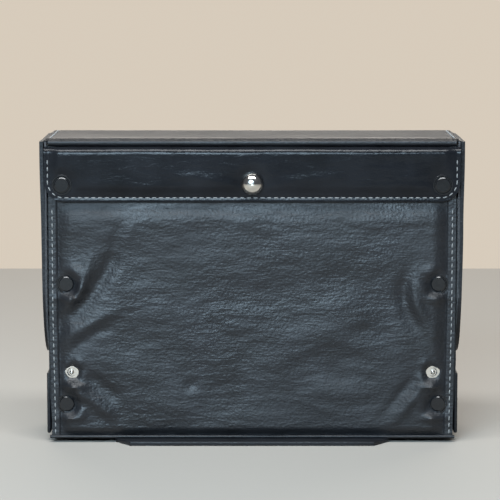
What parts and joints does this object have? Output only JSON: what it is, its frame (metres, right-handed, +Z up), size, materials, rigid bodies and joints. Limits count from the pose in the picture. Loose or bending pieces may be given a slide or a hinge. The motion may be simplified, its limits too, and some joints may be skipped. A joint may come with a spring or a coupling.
{
  "type": "leather ever ready case",
  "caption": "Stiff black leather ever ready case for a folding camera, with a rear snap flap, a hood that swings back and a camera screw in its base.",
  "frame": {"origin": "middle of the case's outline, on the ground under the base", "axes": "+Z up, +X to the right as the snap flap is faced, the flap faces -Y and the lens nose faces +Y"},
  "size_m": [0.1852, 0.08, 0.1345],
  "materials": {
    "case_leather": "semi-gloss",
    "felt_lining": "matte",
    "stiffener_card": "matte",
    "black_enamel": "gloss",
    "nickel": "polished",
    "screw_metal": "satin"
  },
  "bodies": {
    "half_case": {"back_panel": "case_leather", "back_board": "stiffener_card", "back_lining": "felt_lining", "bottom_leather": "case_leather", "bottom_board": "stiffener_card", "bottom_pad": "felt_lining", "tongue": "case_leather", "gusset_left": "case_leather", "gusset_right": "case_leather", "gusset_lining_left": "felt_lining", "gusset_lining_right": "felt_lining", "side_patch_left": "case_leather", "side_patch_right": "case_leather", "front_lip": "case_leather", "front_lip_lining": "felt_lining", "hinge_piping": "case_leather", "bottom_bead": "case_leather", "centre_stud": "nickel", "corner_studs": "nickel", "mid_caps": "black_enamel", "low_caps": "black_enamel", "nickel_studs": "nickel", "post_washers": "nickel", "front_stud": "nickel", "screw_cup": "screw_metal"},
    "hood": {"hood_top": "case_leather", "hood_top_board": "stiffener_card", "hood_top_lining": "felt_lining", "wing_left": "case_leather", "wing_right": "case_leather", "wing_lining_left": "felt_lining", "wing_lining_right": "felt_lining", "front_wall": "case_leather", "front_wall_lining": "felt_lining", "nose_shell": "case_leather", "front_cap": "black_enamel"},
    "flap": {"flap_leather": "case_leather", "flap_lining": "felt_lining", "dome_cap": "nickel", "flap_corner_caps": "black_enamel", "dome_socket": "nickel", "corner_sockets": "nickel"},
    "screw": {"camera_screw": "screw_metal", "screw_clip": "nickel"}
  },
  "joints": [
    {"name": "hood_swing", "type": "hinge", "parent": "half_case", "child": "hood", "pos_m": [0, -0.0296, 0.1324], "axis": [1, 0, 0], "range_deg": [0, 120]},
    {"name": "flap_hinge", "type": "hinge", "parent": "half_case", "child": "flap", "pos_m": [0, -0.0321, 0.1306], "axis": [-1, 0, 0], "range_deg": [0, 100]},
    {"name": "screw_turn", "type": "hinge", "parent": "half_case", "child": "screw", "pos_m": [0, -0.0021, 0.004], "axis": [0, 0, 1], "continuous": true}
  ]
}
